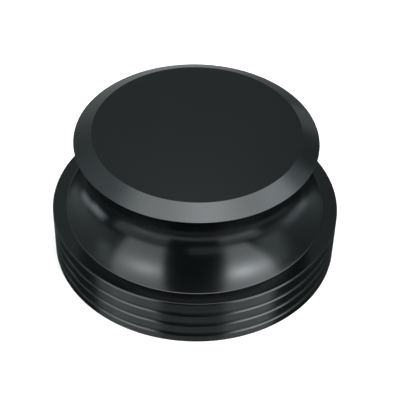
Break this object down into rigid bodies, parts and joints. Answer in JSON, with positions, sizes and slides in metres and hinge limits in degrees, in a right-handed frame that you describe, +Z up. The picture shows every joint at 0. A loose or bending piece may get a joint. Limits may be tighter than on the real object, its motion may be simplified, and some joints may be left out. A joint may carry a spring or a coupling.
{
  "type": "record weight",
  "caption": "Turned record weight with a grooved round base, a hollow waist for the fingers, a bevelled flat top and a spindle bore in its underside.",
  "frame": {"origin": "centre of the flat underside that rests on the record", "axes": "+Z up along the turning axis, from the underside to the flat top; +X and +Y are free, because the part is round"},
  "size_m": [0.076, 0.076, 0.0377],
  "materials": {
    "black_anodised": "black anodised, satin gloss"
  },
  "bodies": {
    "root": {"weight_body": "black_anodised"}
  },
  "joints": []
}
